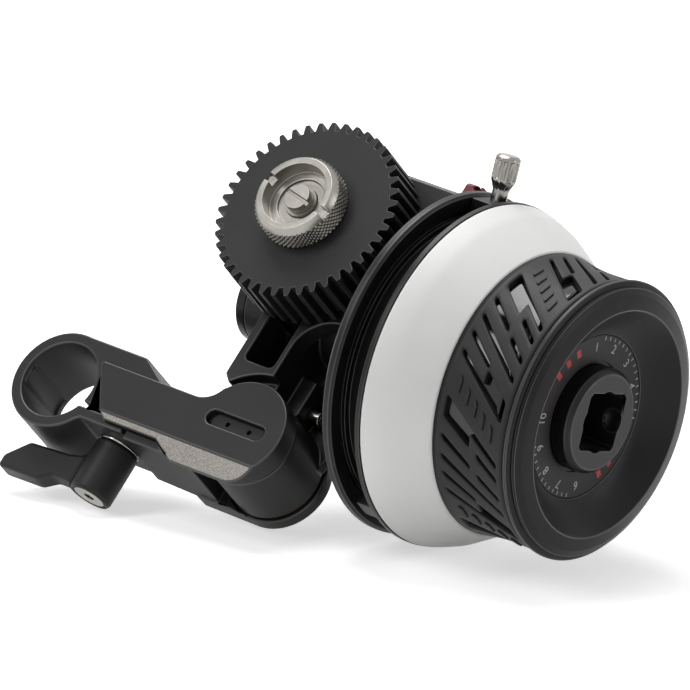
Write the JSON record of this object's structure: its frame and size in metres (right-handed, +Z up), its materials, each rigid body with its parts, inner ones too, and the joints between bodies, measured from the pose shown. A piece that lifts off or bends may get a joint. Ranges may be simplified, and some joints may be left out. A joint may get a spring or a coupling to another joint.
{
  "type": "follow focus unit",
  "caption": "Follow focus unit for a single rod: split rod clamp with a thumb lever, hinged arm, gearbox with a toothed drive gear, hand knob with white marking ring and hard stops.",
  "frame": {"origin": "centre of the rod bore at the clamp's front face", "axes": "+Y along the rod, away from the drive gear's face; +X along the knob's axis, towards the operator; +Z up"},
  "size_m": [0.1107, 0.0654, 0.0846],
  "materials": {
    "black_anodised": "fine bead-blasted black anodised aluminium; the front plate's lower facet is bare blasted metal",
    "stainless_steel": "turned stainless steel with tool marks and knurling",
    "black_oxide_steel": "black oxide steel",
    "bronze": "sintered bronze and brass, inside the mechanism",
    "black_acetal": "matt black machined acetal",
    "gloss_black_plastic": "gloss black moulding, seen through the slots in the rubber",
    "white_plastic": "satin white write-on plastic",
    "rubber": "matt black rubber with slanted tread slots",
    "dial_finish": "dark grey satin ring with plain grey and red index ticks",
    "red_anodised": "dark red anodised aluminium"
  },
  "bodies": {
    "arm": {"arm_body": "black_anodised", "arm_front_plate": "black_anodised", "arm_slot_insert": "black_anodised", "arm_plate_screws": "stainless_steel", "hinge_pin": "stainless_steel", "hinge_washers": "bronze", "hinge_screw": "black_oxide_steel", "hinge_screw_washer": "stainless_steel", "clamp_washer": "stainless_steel"},
    "lever": {"clamp_screw": "stainless_steel", "clamp_lever": "black_anodised", "lever_cap_screw": "stainless_steel"},
    "gearbox": {"gearbox_case": "black_anodised", "gearbox_rear_cover": "black_anodised", "rear_cover_screws": "stainless_steel", "barrel_cap": "black_anodised", "hinge_lock_screw": "stainless_steel", "index_pointer": "red_anodised", "idler_bushes": "bronze", "gear_shaft_bushes": "bronze", "knob_bearings": "stainless_steel", "bearing_spacer": "black_anodised", "stop_drum": "black_anodised", "stop_drum_screws": "stainless_steel"},
    "idler": {"idler_shaft": "stainless_steel", "idler_spur_gear": "stainless_steel", "idler_bevel_gear": "bronze"},
    "drive": {"gear_shaft": "stainless_steel", "output_spur_gear": "stainless_steel", "gear_hub": "stainless_steel", "drive_gear": "black_acetal", "gear_end_screw": "stainless_steel"},
    "nut": {"gear_nut": "stainless_steel"},
    "knob": {"knob_shaft": "stainless_steel", "knob_bevel_gear": "bronze", "channel_plate": "black_anodised", "stop_dog": "black_oxide_steel", "marking_ring": "white_plastic", "grip_core": "gloss_black_plastic", "rubber_grip": "rubber", "knob_flange": "black_anodised", "flange_screws": "stainless_steel", "core_screws": "stainless_steel", "dial_ring": "dial_finish", "hub_socket": "black_anodised"},
    "stop_a": {"stop_block_a": "black_anodised"},
    "stop_b": {"stop_block_b": "black_anodised"},
    "screw_a": {"stop_screw_a": "stainless_steel"},
    "screw_b": {"stop_screw_b": "stainless_steel"}
  },
  "joints": [
    {"name": "lever_turn", "type": "hinge", "parent": "arm", "child": "lever", "pos_m": [0.014, 0.0077, -0.01], "axis": [0, 0, 1], "range_deg": [-270, 0]},
    {"name": "arm_hinge", "type": "hinge", "parent": "arm", "child": "gearbox", "pos_m": [0.0419, 0.01, 0.0028], "axis": [0, 1, 0], "range_deg": [-20, 75]},
    {"name": "knob_turn", "type": "hinge", "parent": "gearbox", "child": "knob", "pos_m": [0.08, 0.0115, 0.032], "axis": [1, 0, 0], "range_deg": [-137, 112]},
    {"name": "idler_turn", "type": "hinge", "parent": "gearbox", "child": "idler", "pos_m": [0.0359, 0.01, 0.032], "axis": [0, 1, 0], "range_deg": [-120, 140]},
    {"name": "drive_turn", "type": "hinge", "parent": "gearbox", "child": "drive", "pos_m": [0.0359, -0.005, 0.0428], "axis": [0, 1, 0], "range_deg": [-140, 120]},
    {"name": "nut_turn", "type": "hinge", "parent": "drive", "child": "nut", "pos_m": [0.0359, -0.014, 0.0428], "axis": [0, 1, 0], "range_deg": [-1080, 0]},
    {"name": "stop_a_slide", "type": "hinge", "parent": "gearbox", "child": "stop_a", "pos_m": [0.0664, 0.0115, 0.032], "axis": [1, 0, 0], "range_deg": [-68, 130]},
    {"name": "stop_b_slide", "type": "hinge", "parent": "gearbox", "child": "stop_b", "pos_m": [0.0664, 0.0115, 0.032], "axis": [1, 0, 0], "range_deg": [-100, 68]},
    {"name": "stop_a_screw_turn", "type": "hinge", "parent": "stop_a", "child": "screw_a", "pos_m": [0.0664, -0.00271, 0.05613], "axis": [0, -0.5075, 0.8616], "range_deg": [0, 720]},
    {"name": "stop_b_screw_turn", "type": "hinge", "parent": "stop_b", "child": "screw_b", "pos_m": [0.0664, 0.03444, 0.04806], "axis": [0, 0.8192, 0.5736], "range_deg": [0, 720]}
  ],
  "couplings": [
    {"joint": "idler_turn", "follows": "knob_turn", "ratio": -1},
    {"joint": "drive_turn", "follows": "knob_turn", "ratio": 1}
  ]
}
